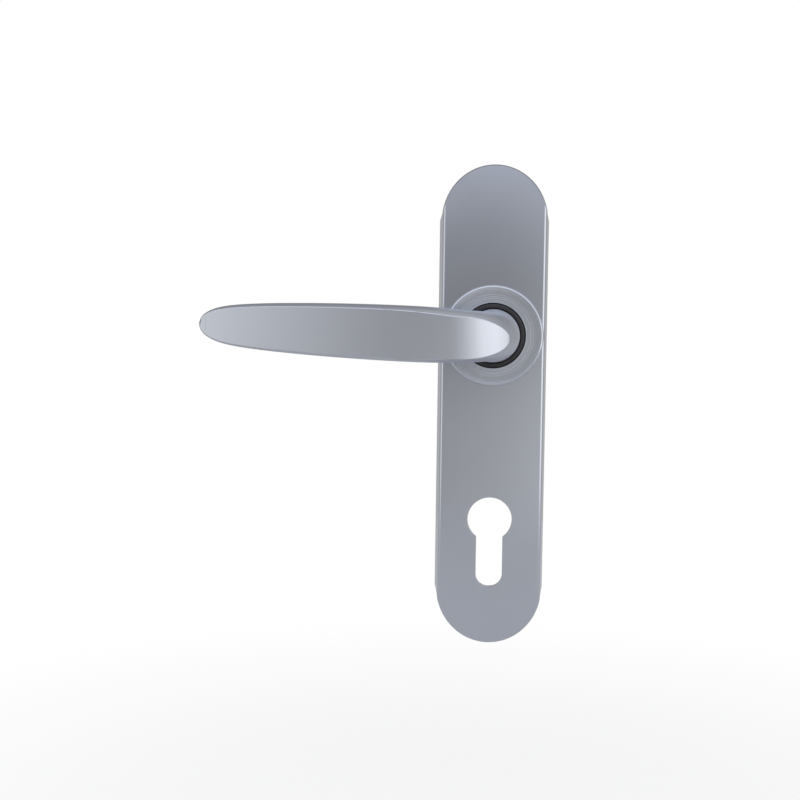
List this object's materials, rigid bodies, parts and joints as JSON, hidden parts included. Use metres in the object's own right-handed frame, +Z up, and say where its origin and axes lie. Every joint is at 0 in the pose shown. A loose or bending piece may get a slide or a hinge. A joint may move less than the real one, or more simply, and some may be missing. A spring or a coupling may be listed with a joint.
{
  "type": "lever door handle on backplate",
  "caption": "Satin aluminium lever door handle on a long round-ended backplate with a euro-profile cylinder cut-out below the lever, sprung return, concealed fixing.",
  "frame": {"origin": "middle of the backplate's flat back, on the door face", "axes": "+Y into the door, +Z up the plate, +X to the right as seen by the user; the lever points to -X and stands out towards -Y"},
  "size_m": [0.1281, 0.102, 0.187],
  "materials": {
    "plate_metal": "satin anodised",
    "lever_metal": "satin anodised",
    "black_nylon": "moulded",
    "grey_nylon": "moulded",
    "steel": "zinc plated",
    "cast_zinc": "as cast",
    "dark_steel": "blackened"
  },
  "bodies": {
    "plate": {"face_plate": "plate_metal", "back_frame": "grey_nylon", "guide_bush": "black_nylon", "wave_washer": "dark_steel", "thrust_washer": "steel", "cassette_ring": "cast_zinc", "cassette_cover": "steel", "spring_pin": "steel", "return_spring": "steel", "upper_post": "steel", "lower_post": "steel", "frame_screw_1": "steel", "frame_screw_2": "steel", "frame_screw_3": "steel", "frame_screw_4": "steel"},
    "lever": {"lever_handle": "lever_metal", "spindle": "steel", "grub_screw": "dark_steel", "driver_disc": "cast_zinc", "circlip": "dark_steel"}
  },
  "joints": [
    {"name": "lever_turn", "type": "hinge", "parent": "plate", "child": "lever", "pos_m": [0, 0, 0.0275], "axis": [0, -1, 0], "range_deg": [0, 40], "stiffness_Nm_per_rad": 1, "springref_deg": -34.38, "deforming": ["return_spring"]}
  ]
}
